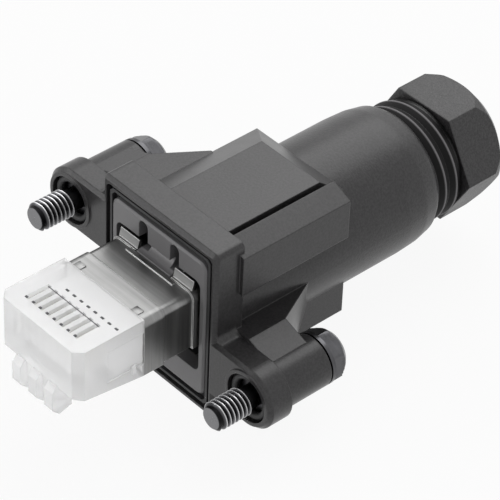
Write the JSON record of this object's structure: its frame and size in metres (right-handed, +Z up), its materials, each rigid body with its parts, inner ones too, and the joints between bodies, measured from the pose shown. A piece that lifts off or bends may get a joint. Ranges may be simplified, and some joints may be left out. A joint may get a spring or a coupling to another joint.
{
  "type": "field termination ethernet plug",
  "caption": "Round-bodied ethernet plug for field assembly, with a clear modular plug in front, captive screws in two ears and a hexagonal cable gland behind",
  "frame": {"origin": "On the axis of the round sleeve, in the plane of the hood's front rim", "axes": "X to the right seen from the front, Y along the plug towards the cable end with the mating side towards -Y, Z up with the latch of the modular plug below"},
  "size_m": [0.033, 0.0565, 0.0204],
  "materials": {
    "hood_plastic": "fine grained black glass-filled plastic",
    "insert_plastic": "smooth dark grey plastic",
    "nut_plastic": "fine grained black plastic",
    "cage_plastic": "smooth grey plastic",
    "seal_rubber": "soft black rubber",
    "clear_plastic": "clear polycarbonate",
    "nickel_shield": "nickel plated sheet",
    "contact_gold": "gold plated",
    "screw_steel": "bright steel",
    "ring_steel": "spring steel"
  },
  "bodies": {
    "hood_body": {"hood": "hood_plastic", "front_insert": "insert_plastic", "front_gasket": "seal_rubber", "plug_body": "clear_plastic", "load_bar": "clear_plastic", "plug_shield": "nickel_shield", "contact_1": "contact_gold", "contact_2": "contact_gold", "contact_3": "contact_gold", "contact_4": "contact_gold", "contact_5": "contact_gold", "contact_6": "contact_gold", "contact_7": "contact_gold", "contact_8": "contact_gold", "screw_o_ring_left": "seal_rubber", "screw_o_ring_right": "seal_rubber", "gland_seal": "seal_rubber", "gland_cage": "cage_plastic"},
    "retainer_left_body": {"screw_retainer_left": "ring_steel"},
    "screw_left_body": {"screw_left": "screw_steel"},
    "retainer_right_body": {"screw_retainer_right": "ring_steel"},
    "screw_right_body": {"screw_right": "screw_steel"},
    "thrust_ring_body": {"gland_thrust_ring": "cage_plastic"},
    "nut_body": {"gland_nut": "nut_plastic"}
  },
  "joints": [
    {"name": "screw_left_slide", "type": "slide", "parent": "hood_body", "child": "retainer_left_body", "axis": [0, 1, 0], "range_m": [-0.0001, 0.0025]},
    {"name": "screw_left_turn", "type": "hinge", "parent": "retainer_left_body", "child": "screw_left_body", "pos_m": [-0.01305, 0, 0.0038], "axis": [0, 1, 0], "continuous": true},
    {"name": "screw_right_slide", "type": "slide", "parent": "hood_body", "child": "retainer_right_body", "axis": [0, 1, 0], "range_m": [-0.0001, 0.0025]},
    {"name": "screw_right_turn", "type": "hinge", "parent": "retainer_right_body", "child": "screw_right_body", "pos_m": [0.01305, 0, -0.0038], "axis": [0, 1, 0], "continuous": true},
    {"name": "nut_travel", "type": "slide", "parent": "hood_body", "child": "thrust_ring_body", "axis": [0, 1, 0], "range_m": [0, 0.0015]},
    {"name": "nut_turn", "type": "hinge", "parent": "thrust_ring_body", "child": "nut_body", "pos_m": [0, 0.0381, 0], "axis": [0, 1, 0], "range_deg": [0, 360]}
  ],
  "couplings": [
    {"joint": "nut_turn", "follows": "nut_travel", "rad_per_m": 4188.8}
  ]
}
